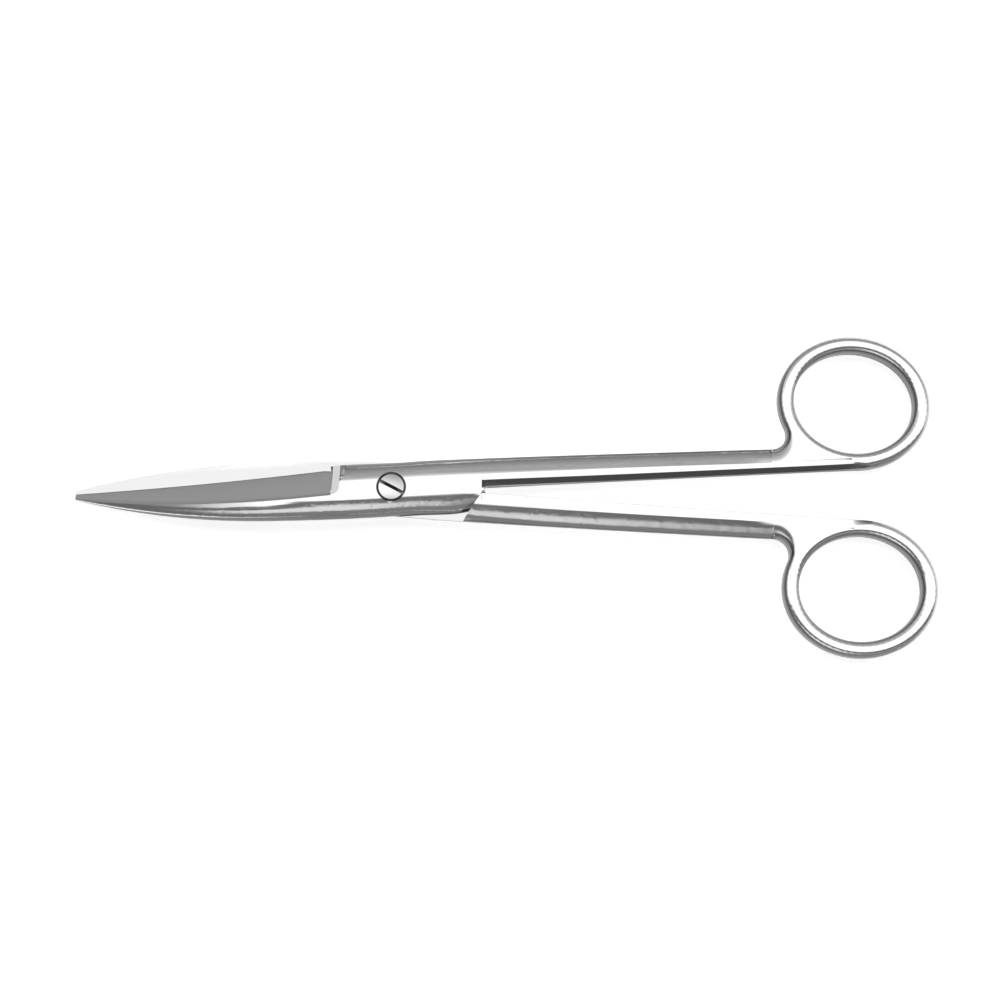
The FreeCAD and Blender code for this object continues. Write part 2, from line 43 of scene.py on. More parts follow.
class BladeSizes(bpy.types.PropertyGroup):
    tip_reach: bpy.props.FloatProperty(
        name="Tip reach", description="From the screw to the tips, in millimetres", default=67.5
    )
    heel_reach: bpy.props.FloatProperty(
        name="Heel reach", description="From the screw to the heel of the edge", default=15.0
    )
    edge_at_tip: bpy.props.FloatProperty(
        name="Edge at tip", description="Edge's distance from the middle line", default=0.25
    )
    edge_at_heel: bpy.props.FloatProperty(
        name="Edge at heel", description="Edge's distance from the middle line", default=3.6
    )
    flat_reach: bpy.props.FloatProperty(
        name="Flat reach", description="From the screw to where the bend begins", default=10.0
    )
    blade_drop: bpy.props.FloatProperty(
        name="Blade drop", description="How far the bend lowers the tips", default=9.8
    )
    ridge_at_tip: bpy.props.FloatProperty(
        name="Ridge at tip", description="Thickness of a blade at its tip", default=0.45
    )
    bevel_angle: bpy.props.FloatProperty(
        name="Bevel angle",
        description="Between the ground bevel and the meeting face",
        default=math.radians(28.5),
        subtype="ANGLE",
    )
    bevel_end: bpy.props.FloatProperty(
        name="Bevel end", description="From the screw to the end of the bevel", default=12.3
    )
    heel_round: bpy.props.FloatProperty(
        name="Heel round", description="Round between the ridge and the run-out", default=1.7
    )
    run_out: bpy.props.FloatProperty(
        name="Run-out", description="Width of the strip in which the bevel ends", default=1.7
    )
    ridge_band: bpy.props.FloatProperty(
        name="Ridge band", description="Width of the ground strip behind the ridge", default=0.5
    )
    spine_fullest: bpy.props.FloatVectorProperty(
        name="Fullest spine", description="Upper and lower blade's greatest width", size=2,
        default=(6.8, 5.7),
    )
    spine_reach: bpy.props.FloatVectorProperty(
        name="Fullest reach", description="Where the upper and lower blades are fullest", size=2,
        default=(27.0, 17.0),
    )


class HandleSizes(bpy.types.PropertyGroup):
    joint_height: bpy.props.FloatProperty(
        name="Joint height", description="Thickness of a half at the screw", default=2.9
    )
    shank_height: bpy.props.FloatProperty(
        name="Shank height", description="Half of the thickness of a shank", default=1.85
    )
    height_fade: bpy.props.FloatProperty(
        name="Height fade", description="How slowly the joint thins into the shank", default=18.0
    )
    joint_outer: bpy.props.FloatProperty(
        name="Joint outside", description="Outline's distance from the screw", default=5.45
    )
    joint_inner: bpy.props.FloatProperty(
        name="Joint inside", description="Other outline's distance from the screw", default=5.65
    )
    shank_outer: bpy.props.FloatProperty(
        name="Shank outside", description="Outline's distance at the ring", default=9.35
    )
    shank_end: bpy.props.FloatProperty(
        name="Shank end", description="From the screw to the ring's web", default=78.0
    )
    shank_round: bpy.props.FloatProperty(
        name="Shank round", description="Width of the round shoulders", default=3.2
    )
    corner_reach: bpy.props.FloatProperty(
        name="Corner reach", description="From the screw to the stop's inner corner", default=19.4
    )
    corner_side: bpy.props.FloatProperty(
        name="Corner side", description="Inner corner's distance from the middle", default=0.72
    )
    facet_width: bpy.props.FloatProperty(
        name="Facet width", description="Slanted facet on the inner side", default=1.7
    )
    facet_depth: bpy.props.FloatProperty(
        name="Facet depth", description="How far down the facet goes", default=1.2
    )
    ring_reach: bpy.props.FloatProperty(
        name="Ring reach", description="From the screw to the middle of a ring", default=95.3
    )
    ring_offset: bpy.props.FloatProperty(
        name="Ring offset", description="Ring's middle from the middle line", default=19.45
    )
    ring_foot: bpy.props.FloatProperty(
        name="Ring foot", description="Ring's nearest point to the middle line", default=5.35
    )
    ring_halves: bpy.props.FloatVectorProperty(
        name="Ring halves", description="Half length and width of the band's middle", size=2,
        default=(14.07, 12.48),
    )
    ring_lean: bpy.props.FloatProperty(
        name="Ring lean", description="Turn of a ring", default=math.radians(4.0), subtype="ANGLE"
    )
    crotch_place: bpy.props.FloatVectorProperty(
        name="Crotch place", description="Middle of the round between shank and ring", size=2,
        default=(77.91, 12.65),
    )
    crotch_radius: bpy.props.FloatProperty(
        name="Crotch radius", description="Round between shank and ring", default=3.3
    )


def tone_property(name, description, tone):
    return bpy.props.FloatVectorProperty(
        name=name, description=description, default=tone, subtype="COLOR", min=0.0, max=1.0
    )


class SteelFinish(bpy.types.PropertyGroup):
    polished_tone: tone_property(
        "Polished tone", "Colour of the polished forging", (0.86, 0.86, 0.865)
    )
    ground_tone: tone_property("Ground tone", "Colour of the ground bevels", (0.80, 0.80, 0.805))
    meeting_tone: tone_property(
        "Meeting tone", "Colour of the finely ground meeting faces", (0.7, 0.7, 0.704)
    )
    run_out_tone: tone_property(
        "Run-out tone", "Colour of the strip in which the bevel ends", (0.52, 0.52, 0.525)
    )
    # Painted shade in the heel's corner behind the run-out
    painted_heel_shade: tone_property(
        "Heel tone", "Colour of the corner behind the run-out", (0.3, 0.3, 0.302)
    )
    # Painted shade on the part of the facets that mirrors the dark
    painted_facet_shade: tone_property(
        "Facet tone", "Colour of the slanted facets beside the gap", (0.26, 0.26, 0.263)
    )
    # Painted shade on the wall in the gap between the shanks
    painted_gap_shade: tone_property(
        "Wall tone", "Colour of the wall below the facets", (0.06, 0.06, 0.062)
    )
    # Painted shade on the halves' edge round the screw
    painted_bore_shade: tone_property(
        "Bore tone", "Colour of the steel's edge round the screw", (0.12, 0.12, 0.12)
    )
    # The four side tones are painted shade: the narrow sides are darkened where the steel would
    # mirror dark
    painted_side_shade: tone_property(
        "Side tone", "Colour of the satin narrow sides at the joint", (0.19, 0.19, 0.193)
    )
    painted_shank_side_shade: tone_property(
        "Shank side tone", "Colour of the narrow sides at the rings", (0.13, 0.13, 0.132)
    )
    painted_ring_side_shade: tone_property(
        "Ring side tone", "Colour of the rings' sides", (0.2, 0.2, 0.202)
    )
    painted_ring_end_shade: tone_property(
        "Ring end tone", "Colour of the rings' sides at their far ends", (0.45, 0.45, 0.455)
    )
    polished_roughness: bpy.props.FloatProperty(
        name="Polished roughness", description="Blur of the polished parts", default=0.16
    )
    ground_roughness: bpy.props.FloatProperty(
        name="Ground roughness", description="Blur of the ground bevels", default=0.42
    )
    side_roughness: bpy.props.FloatProperty(
        name="Side roughness", description="Blur of the narrow sides", default=0.3
    )


class StudioSetup(bpy.types.PropertyGroup):
    floor_tone: bpy.props.FloatProperty(
        name="Floor tone", description="Grey level of the floor", default=0.92
    )
    view_distance: bpy.props.FloatProperty(
        name="View distance", description="Camera to scissors", default=0.32, unit="LENGTH"
    )
    view_tilt: bpy.props.FloatProperty(
        name="View tilt",
        description="Camera's lean from straight above, towards the lower ring",
        default=math.radians(12.0),
        subtype="ANGLE",
    )
    view_roll: bpy.props.FloatProperty(
        name="View roll",
        description="Turn of the picture",
        default=math.radians(0.7),
        subtype="ANGLE",
    )
    focal_length: bpy.props.FloatProperty(
        name="Focal length", description="Lens, in millimetres", default=56.16
    )


# Shader sums written as expressions

class Wire:
    """A value in a node graph. Sums of wires and numbers add their Math nodes."""

    def __init__(self, graph, socket):
        self.graph = graph
        self.socket = socket

    def sum(self, operation, *inputs):
        made = self.graph.add("ShaderNodeMath", {"operation": operation}, dict(enumerate(inputs)))
        return Wire(self.graph, made.outputs[0])

    def __add__(self, other):
        return self.sum("ADD", self, other)

    def __radd__(self, other):
        return self.sum("ADD", other, self)

    def __sub__(self, other):
        return self.sum("SUBTRACT", self, other)

    def __rsub__(self, other):
        return self.sum("SUBTRACT", other, self)

    def __mul__(self, other):
        return self.sum("MULTIPLY", self, other)

    def __rmul__(self, other):
        return self.sum("MULTIPLY", other, self)

    def __truediv__(self, other):
        return self.sum("DIVIDE", self, other)

    def __pow__(self, other):
        return self.sum("POWER", self, other)

    def __abs__(self):
        return self.sum("ABSOLUTE", self)

    def root(self):
        return self.sum("SQRT", self)

    def exponential(self):
        return self.sum("EXPONENT", self)

    def sign(self):
        return self.sum("SIGN", self)

    def at_least(self, other):
        return self.sum("MAXIMUM", self, other)

    def at_most(self, other):
        return self.sum("MINIMUM", self, other)

    def angle_from(self, other):
        return self.sum("ARCTAN2", self, other)

    def rise(self, low, high):
        """0 below low, 1 above high and smooth between them."""
        made = self.graph.add(
            "ShaderNodeMapRange",
            {"interpolation_type": "SMOOTHSTEP"},
            {"Value": self, "From Min": low, "From Max": high},
        )
        return Wire(self.graph, made.outputs["Result"])

    def fall(self, low, high):
        """1 below low, 0 above high and smooth between them."""
        return 1 - self.rise(low, high)

    def near(self, middle, reach):
        """1 within half of reach of the middle, and 0 beyond reach."""
        return abs(self - middle).fall(reach / 2, reach)


class Graph:
    """The node graph of a material or of the world."""

    def __init__(self, owner):
        owner.use_nodes = True
        self.tree = owner.node_tree
        self.tree.nodes.clear()

    def add(self, kind, settings=None, inputs=None):
        made = self.tree.nodes.new(kind)
        for name, value in (settings or {}).items():
            if name == "stops":
                self.set_stops(made.color_ramp, value)
            else:
                setattr(made, name, value)
        for key, value in (inputs or {}).items():
            self.feed(made.inputs[key], value)
        return made

    def set_stops(self, ramp, stops):
        while len(ramp.elements) < len(stops):
            ramp.elements.new(1.0)
        for element, (place, level) in zip(ramp.elements, stops):
            element.position = place
            element.color = (level, level, level, 1.0)

    def feed(self, socket, value):
        if isinstance(value, Wire):
            self.tree.links.new(value.socket, socket)
        else:
            socket.default_value = value

    def wire(self, node, output=0):
        return Wire(self, node.outputs[output])

    def noise(self, place, scale, detail=2.0, roughness=0.5):
        made = self.add(
            "ShaderNodeTexNoise",
            None,
            {"Vector": place, "Scale": scale, "Detail": detail, "Roughness": roughness},
        )
        return self.wire(made, "Fac")

    def stretched(self, place, shares):
        made = self.add("ShaderNodeMapping", None, {"Vector": place, "Scale": shares})
        return self.wire(made)

    def blend(self, share, first, second):
        """A colour between two colours."""
        made = self.add(
            "ShaderNodeMix",
            {"data_type": "RGBA"},
            {"Factor": share, "A": colour(first), "B": colour(second)},
        )
        return self.wire(made, "Result")

    def ramp(self, angle, bands):
        """Brightness read off (degrees, brightness) stops between -180 and 180."""
        stops = [(degrees / 360 + 0.5, level) for degrees, level in bands]
        share = angle / (2 * math.pi) + 0.5
        return self.wire(self.add("ShaderNodeValToRGB", {"stops": stops}, {"Fac": share}))

    def bump(self, height, depth, normal=None):
        inputs = {"Height": height, "Distance": depth, "Strength": 1.0}
        if normal is not None:
            inputs["Normal"] = normal
        return self.wire(self.add("ShaderNodeBump", None, inputs), "Normal")

    def vector(self, operation, *inputs):
        made = self.add("ShaderNodeVectorMath", {"operation": operation}, dict(enumerate(inputs)))
        return self.wire(made)

    def combine(self, x, y, z):
        return self.wire(self.add("ShaderNodeCombineXYZ", None, {"X": x, "Y": y, "Z": z}))

    def shift(self, first, second, share):
        """A direction between two directions."""
        return self.vector("MULTIPLY_ADD", self.vector("SUBTRACT", second, first), share, first)

    def drawing_place(self):
        """Object coordinates in millimetres about the screw, in the drawing frame."""
        source = self.wire(self.add("ShaderNodeTexCoord"), "Object")
        made = self.add(
            "ShaderNodeMapping",
            {"vector_type": "TEXTURE"},
            {
                "Vector": source,
                "Location": PIVOT,
                "Rotation": Euler((0, REST_TURN, 0)),
                "Scale": Vector((MILLIMETRE,) * 3),
            },
        )
        return self.wire(made)

    def out_of_drawing(self, x, y, z):
        """A direction of the drawing frame as the shader wants it."""
        turned = self.add(
            "ShaderNodeMapping",
            {"vector_type": "VECTOR"},
            {"Vector": self.combine(x, y, z), "Rotation": Euler((0, REST_TURN, 0))},
        )
        made = self.add(
            "ShaderNodeVectorTransform",
            {"vector_type": "VECTOR", "convert_from": "OBJECT", "convert_to": "WORLD"},
            {"Vector": self.wire(turned)},
        )
        return self.wire(made)

    def split(self, place):
        made = self.add("ShaderNodeSeparateXYZ", None, {"Vector": place})
        return [self.wire(made, axis) for axis in "XYZ"]

    def finish_metal(self, inputs):
        shader = self.add("ShaderNodeBsdfPrincipled", None, dict(inputs, Metallic=1.0))
        end = self.add("ShaderNodeOutputMaterial")
        self.tree.links.new(shader.outputs[0], end.inputs["Surface"])


def colour(value):
    """A colour with its alpha, or a wire as it is."""
    return value if isinstance(value, Wire) else (*value, 1.0)


# The form of a half in its material

# Where the finishes of a half change. A pair is the start and the end of a smooth change, in
# millimetres in the drawing frame. What is named a share is a part of a whole, a turn is in
# radians, and a lean is a slope.

SOFT = 0.1

BEVEL_SKIN = (-0.12, -0.06)
RIDGE_BLUR = 0.04
FACE_HEIGHT = (0.03, 0.06)
HEEL_RIDGE = -1.74
RUN_OUT_DEPTH = (0.35, 0.45)
HEEL_CORNER_LENGTH = 1.0
HEEL_CORNER_SIDE = (1.6, 2.8)
HEEL_CORNER_SHARE = (0.97, 1.0)

MEETING_HEIGHT = (0.02, 0.06)
MEETING_END = (-20.0, -19.5)

SHANK_START = (18.4, 18.5)
SHANK_STOP = (93.0, 99.0)
FACET_START = (0.02, 0.06)
FACET_PAST = (0.05, 0.2)
DARK_WIDTH = 1.25
DARK_TAPER = 0.003
DARK_BLUR = (-0.05, 0.05)
DARK_SIDE = (0.0, 0.1)
WALL_SKIN = 0.14
WALL_TOP = (-0.05, 0.05)

WEB_START = (77.8, 78.0)
WEB_STOP = (97.0, 99.0)
WEB_INNER = (1.5, 1.7)
WEB_OUTER = (2.6, 2.9)
WEB_SHARE = (0.55, 0.65)
HOLE_SHARE = (0.95, 1.0)

# The painted shade on a side reaches up to a share of the half's height: lower on the side turned
# to the light, higher at the joint and highest on the ring
MIDDLE_AT_SCREW = 1.93
MIDDLE_SLOPE = 0.0535
MIDDLE_START = (14.0, 20.0)
MIDDLE_BLUR = (-0.5, 0.5)
STEEP_SHARE = 0.27
STEEP_JOINT_SHARE = 0.33
AWAY_SHARE = 0.23
AWAY_JOINT_SHARE = 0.094
RING_STEEP_SHARE = 0.85
CROTCH_STEEP_SHARE = 0.13
RING_START = (77.6, 78.2)
STEEP_BLUR = (-0.07, 0.07)
CORNER_START = (17.6, 17.8)
CORNER_STOP = (19.5, 19.7)
CORNER_SIDE = (2.4, 2.8)
LOWER_SPINE_START = (8.0, 14.0)
LOWER_SPINE_SIDE = (-0.5, 0.5)

RING_END = (8.0, 13.0)
RING_OUTER_SHARE = (1.0, 1.04)

SHOULDER_LEAN = 0.16
SHOULDER_SHARE = (0.3, 0.5)
OUTER_POWER = 0.8
OUTER_TAPER = 0.07
OUTER_WIDTH = 0.95
OUTER_FADE = 40.0
OUTER_SKIRT = -1.6
OUTER_STOP = (70.0, 77.0)
OUTER_REACH = (10.4, 11.0)
INNER_SLOPE = 0.0772
INNER_ROUND = 3.12
INNER_WIDTH = 0.8
INNER_SKIRT = -1.5
INNER_STOP = (15.0, 18.0)
INNER_REACH = (18.0, 26.0)

CROTCH_NEAR = (5.0, 7.0)
CROTCH_LAST_TURN = (1.6, 1.9)
CROTCH_NARROWS = (0.1, 1.75)
CROTCH_NARROWER = 2.1
CROTCH_LEAST = 1.0
CROTCH_LEAN = 0.62


class HalfField:
    """Where a point of a half lies: how far along, how far towards the ring's side, and
    how high over the meeting face. The lower half is the upper one turned over."""

    def __init__(self, graph, is_upper, blade, handle):
        self.graph = graph
        self.blade = blade
        self.handle = handle
        self.side = 1 if is_upper else -1
        which = 0 if is_upper else 1
        self.fullest = blade.spine_fullest[which]
        self.fullest_reach = blade.spine_reach[which]
        self.place = graph.drawing_place()
        self.x, self.y, self.z = graph.split(self.place)
        self.reach = 0 - self.x
        self.outwards = self.y * self.side
        self.far = self.x.at_least(0.0)

        bent = blade.tip_reach - blade.flat_reach
        radius = (bent ** 2 + blade.blade_drop ** 2) / (2 * blade.blade_drop)
        run = (self.reach - blade.flat_reach).at_least(0.0)
        self.above = (self.z - (radius ** 2 - run * run).root() + radius) * self.side
        self.fade = (0 - (self.far / handle.height_fade) ** 2).exponential()
        thick = (handle.joint_height - handle.shank_height) * self.fade + handle.shank_height
        self.thickness = thick - (handle.joint_height - blade.ridge_at_tip) * (run / bent) ** 2
        self.share = abs(self.above) / self.thickness

        slope = (handle.ring_foot - handle.corner_side) / (handle.ring_reach - handle.corner_reach)
        line = handle.corner_side + slope * (self.x - handle.corner_reach)
        self.over_line = self.outwards - line
        self.on_shank = self.x.rise(*SHANK_START) * self.x.fall(*SHANK_STOP)

        dx = self.x - handle.ring_reach
        dy = self.outwards - handle.ring_offset
        cosine, sine = math.cos(handle.ring_lean), math.sin(handle.ring_lean)
        self.ring_along = dx * cosine - dy * sine
        ring_across = dx * sine + dy * cosine
        long_half, short_half = handle.ring_halves
        long_share = (self.ring_along / long_half) ** 2.0
        short_share = (abs(ring_across) / short_half) ** 2.0
        self.ring_share = (long_share + short_share).root()

        crotch_x, crotch_y = handle.crotch_place
        self.to_crotch = (crotch_x - self.x, crotch_y - self.outwards)
        across, along = self.to_crotch
        self.crotch_distance = (across * across + along * along).root()
        self.crotch_turn = (0 - across).angle_from(along)
        self.in_crotch = self.crotch_turn.fall(*CROTCH_LAST_TURN)

    def bevel(self):
        """The ground bevel, the light strip in which it runs out, and the corner behind it, which
        is painted darker as shade.
        """
        blade = self.blade
        along = (blade.tip_reach - self.reach) / (blade.tip_reach - blade.heel_reach)
        edge = blade.edge_at_tip + (blade.edge_at_heel - blade.edge_at_tip) * (along * along)
        slope = math.tan(blade.bevel_angle)
        depth = slope * (edge - self.outwards) - self.above
        strip = slope * blade.ridge_band
        found = depth.rise(*BEVEL_SKIN) * depth.fall(strip, strip + RIDGE_BLUR)
        off_face = self.above.rise(*FACE_HEIGHT)
        behind = self.reach.rise(blade.bevel_end - SOFT, blade.bevel_end + SOFT)

        # The strip's inner line turns a quarter round towards the ridge
        turned = (blade.heel_round + HEEL_RIDGE - self.outwards) / blade.heel_round
        turned = turned.at_least(0.0).at_most(1.0)
        back = blade.heel_round * (1 - (1 - turned * turned).root())
        ahead = blade.bevel_end - blade.run_out + back
        run_out = self.reach.rise(ahead - SOFT, ahead + SOFT) * (1 - behind)
        run_out = run_out * depth.fall(*RUN_OUT_DEPTH)
        start = ahead - HEEL_CORNER_LENGTH
        corner = self.reach.rise(start - SOFT, start + SOFT)
        corner = corner * self.reach.fall(ahead - SOFT, ahead + SOFT)
        corner = corner * self.outwards.rise(*HEEL_CORNER_SIDE)
        corner = corner * self.share.fall(*HEEL_CORNER_SHARE)
        return found * off_face * behind, run_out * off_face, corner * off_face

    def meeting_face(self):
        return self.above.near(*MEETING_HEIGHT) * self.reach.rise(*MEETING_END)

    def facet(self):
        """The slanted facets, split into the part that mirrors the dark, which is also painted as
        shade, and the rest.
        """
        past = self.over_line - self.handle.facet_width
        found = self.over_line.rise(*FACET_START) * past.fall(*FACET_PAST) * self.on_shank
        width = DARK_WIDTH - DARK_TAPER * self.x
        dark = (self.over_line - width).fall(*DARK_BLUR) * (self.z * self.side).rise(*DARK_SIDE)
        return found * dark, found * (1 - dark)

    def inner_wall(self):
        low = self.thickness - self.handle.facet_depth
        below = (abs(self.z) - low).fall(*WALL_TOP)
        return self.over_line.near(0.0, WALL_SKIN) * below * self.on_shank

    def web_top(self):
        """The level web beside the facets, where the shank goes into the ring."""
        along = self.x.rise(*WEB_START) * self.x.fall(*WEB_STOP)
        across = self.over_line.rise(*WEB_INNER) * self.over_line.fall(*WEB_OUTER)
        return along * across * self.share.rise(*WEB_SHARE) * self.ring_share.rise(*HOLE_SHARE)

    def steep_side_shade(self):
        """Painted shade on the lower part of the round shoulders and the narrow wall below it."""
        middle = (MIDDLE_AT_SCREW + MIDDLE_SLOPE * self.x) * self.x.rise(*MIDDLE_START)
        away = (self.y - middle * self.side).rise(*MIDDLE_BLUR)
        limit = STEEP_SHARE + STEEP_JOINT_SHARE * self.fade
        limit = limit + (AWAY_SHARE - AWAY_JOINT_SHARE * self.fade) * away
        near_crotch = self.crotch_distance.fall(*CROTCH_NEAR) * self.in_crotch
        on_ring = RING_STEEP_SHARE + CROTCH_STEEP_SHARE * near_crotch
        limit = limit + (on_ring - limit) * self.x.rise(*RING_START)
        steep = (self.share - limit).fall(*STEEP_BLUR)
        corner = self.x.rise(*CORNER_START) * self.x.fall(*CORNER_STOP)
        steep = steep * (1 - corner * abs(self.outwards).fall(*CORNER_SIDE))
        if self.side < 0:
            spine = self.reach.rise(*LOWER_SPINE_START) * self.outwards.fall(*LOWER_SPINE_SIDE)
            steep = steep * (1 - spine)
        return steep

    def ring_right(self):
        """The outer side of the ring that looks away from the joint."""
        return self.ring_along.rise(*RING_END) * self.ring_share.rise(*RING_OUTER_SHARE)

    def outer_lean(self):
        """How much more than the solid the shoulders lean where they leave the flat."""
        handle = self.handle
        growth = (self.far / handle.shank_end) ** OUTER_POWER
        outline = handle.joint_outer + (handle.shank_outer - handle.joint_outer) * growth
        outline = outline - OUTER_TAPER * self.reach.at_least(0.0)
        inside = outline - self.outwards - handle.shank_round
        faded = self.x / OUTER_FADE
        width = OUTER_WIDTH * (0 - faded * faded).exponential()
        lean = SHOULDER_LEAN * inside.fall(0.0, width) * inside.rise(OUTER_SKIRT, 0.0)
        lean = lean * self.x.fall(*OUTER_STOP) * self.reach.fall(*OUTER_REACH)
        return lean * self.share.rise(*SHOULDER_SHARE)

    def inner_lean(self):
        """The same on the other shoulder, along the joint and the blade's spine."""
        handle = self.handle
        short = (self.fullest_reach - self.reach.at_least(0.0)) / self.fullest_reach
        outline = self.fullest - (self.fullest - handle.joint_inner) * (short * short)
        outline = outline - INNER_SLOPE * self.far
        inside = self.outwards + outline - INNER_ROUND
        lean = SHOULDER_LEAN * inside.fall(0.0, INNER_WIDTH) * inside.rise(INNER_SKIRT, 0.0)
        lean = lean * self.x.fall(*INNER_STOP) * self.reach.fall(*INNER_REACH)
        return lean * self.share.rise(*SHOULDER_SHARE)

    def crotch_lean(self):
        """The shank's round shoulder, carried on round the crotch over the level web."""
        inside = (self.crotch_distance - self.handle.crotch_radius).at_least(CROTCH_LEAST)
        narrower = CROTCH_NARROWER * self.crotch_turn.rise(*CROTCH_NARROWS)
        width = self.handle.shank_round - narrower
        lean = CROTCH_LEAN * ((width - inside) / width).at_least(0.0)
        lean = lean * self.x.rise(*WEB_START) * self.in_crotch / self.crotch_distance
        return lean * self.to_crotch[0], lean * self.to_crotch[1] * self.side

    def normal(self, bevel, meeting, slanted, level):
        """The way the surface looks, with the leans that finish its shoulders."""
        graph = self.graph
        way = self.z.sign()
        angle = self.blade.bevel_angle
        diagonal = math.sqrt(0.5)
        facing = graph.wire(graph.add("ShaderNodeNewGeometry"), "Normal")
        faces = (
            (level, (0.0, 0.0, way)),
            (slanted, (0.0, -diagonal * self.side, way * diagonal)),
            (bevel, (0.0, math.sin(angle) * self.side, math.cos(angle) * self.side)),
            (meeting, (0.0, 0.0, -float(self.side))),
        )
        for share, direction in faces:
            facing = graph.shift(facing, graph.out_of_drawing(*direction), share)
        across = (self.outer_lean() - self.inner_lean()) * self.side
        crotch_x, crotch_y = self.crotch_lean()
        lean = graph.out_of_drawing(crotch_x, crotch_y + across, 0.0)
        return graph.vector("NORMALIZE", graph.vector("ADD", facing, lean))




# Finishes

def dress(node, material):
    """The CAD node shows this material and nothing else."""
    slots = frame["nodes"][node].data.materials
    slots.clear()
    slots.append(material)


# Where the sides' painted shade changes along a half, and the painted shade at the edge round the
# screw, in millimetres
SHANK_SIDE_CHANGE = (30.0, 75.0)
RING_SIDE_CHANGE = (77.0, 80.0)
BORE_EDGE = (3.0, 3.12)

# Grain: its detail with its roughness, its waves per millimetre along, across and over the
# half, how far it changes the blur, and its depth in metres
GRAIN = (3.0, 0.6)
GRIND_SCALE = (9.0, 0.8, 0.8)
GRIND_BLUR = 0.1
GRIND_DEPTH = 0.000004
POLISH_SCALE = (0.25, 14.0, 14.0)
POLISH_BLUR = 0.06
POLISH_DEPTH = 0.0000008
CLOUD_SCALE = 0.22
CLOUD_BLUR = 0.05
WAVE_SCALE = (0.08, 0.22, 0.22)
WAVE_DEPTH = 0.00003


def forged_steel(name, is_upper, blade, handle, finish):
    """Polished forging with a ground bevel and a finely ground meeting face, and darker places
    painted as shade.
    """
    material = bpy.data.materials.new(name)
    graph = Graph(material)
    field = HalfField(graph, is_upper, blade, handle)
    bevel, run_out, corner = field.bevel()
    meeting = field.meeting_face()
    slanted, rest = field.facet()
    level = rest.at_least(field.web_top()).at_least(run_out).at_least(corner)
    plain = (1 - bevel) * (1 - run_out) * (1 - meeting) * (1 - slanted) * (1 - rest)
    side = field.steep_side_shade() * plain
    wall_shade = field.inner_wall()
    screw_edge_shade = (field.x * field.x + field.y * field.y).root().fall(*BORE_EDGE)

    # Grinding lines cross the bevel and run along the rest
    across = graph.noise(graph.stretched(field.place, GRIND_SCALE), 1.0, *GRAIN)
    lengthwise = graph.noise(graph.stretched(field.place, POLISH_SCALE), 1.0, *GRAIN)
    cloud = graph.noise(field.place, CLOUD_SCALE)
    wave = graph.noise(graph.stretched(field.place, WAVE_SCALE), 1.0, 1.0)

    # Painted shade on the narrow sides, changing along the half and lighter at the rings' far ends
    along_shank = field.x.rise(*SHANK_SIDE_CHANGE)
    painted_side_shade = graph.blend(along_shank, finish.painted_side_shade, finish.painted_shank_side_shade)
    painted_side_shade = graph.blend(field.x.rise(*RING_SIDE_CHANGE), painted_side_shade, finish.painted_ring_side_shade)
    painted_side_shade = graph.blend(field.ring_right(), painted_side_shade, finish.painted_ring_end_shade)
    tone = graph.blend(bevel, finish.polished_tone, finish.ground_tone)
    tone = graph.blend(run_out, tone, finish.run_out_tone)
    # The heel's corner is painted darker as shade
    tone = graph.blend(corner, tone, finish.painted_heel_shade)
    # The facets' dark part is painted shade
    tone = graph.blend(slanted, tone, finish.painted_facet_shade)
    tone = graph.blend(meeting, tone, finish.meeting_tone)
    # The steep sides get their painted shade
    tone = graph.blend(side, tone, painted_side_shade)
    # The wall in the gap is painted near black as shade
    tone = graph.blend(wall_shade, tone, finish.painted_gap_shade)
    # The edge round the screw is painted dark as shade
    tone = graph.blend(screw_edge_shade, tone, finish.painted_bore_shade)

    blur = finish.polished_roughness + (lengthwise - 0.5) * POLISH_BLUR
    blur = blur + (cloud - 0.5) * CLOUD_BLUR
    blur = blur + (finish.side_roughness - blur) * side
    blur = blur + (finish.ground_roughness + (across - 0.5) * GRIND_BLUR - blur) * bevel
    normal = field.normal(bevel, meeting, slanted, level)
    normal = graph.bump(wave, WAVE_DEPTH, normal)
    normal = graph.bump(lengthwise * (1 - bevel), POLISH_DEPTH, normal)
    normal = graph.bump(across * bevel, GRIND_DEPTH, normal)
    graph.finish_metal({"Base Color": tone, "Roughness": blur, "Normal": normal})
    return material


# The screw: its turning rings, and the painted shade in its slot, on its rim and across its head,
# in millimetres but for the depth of the rings, which is in metres
TURNING_SCALE = 6.0
TURNING_BLUR = 0.1
TURNING_DEPTH = 0.000005
SLOT_FLOOR = (2.84, 2.9)
SLOT_LIGHTENS = (1.0, 2.7)
SLOT_BLUR = 0.2
SCREW_RIM = (2.5, 2.62)
SHADE_WAY = (0.6, 0.8)
SHADE_CHANGE = (-1.5, 2.6)
SHADED_TONE = (0.5, 0.5, 0.505)
SLOT_MIDDLE_SHADE = (0.025, 0.025, 0.026)
SLOT_END_SHADE = (0.22, 0.22, 0.222)
SCREW_RIM_SHADE = (0.1, 0.1, 0.1)


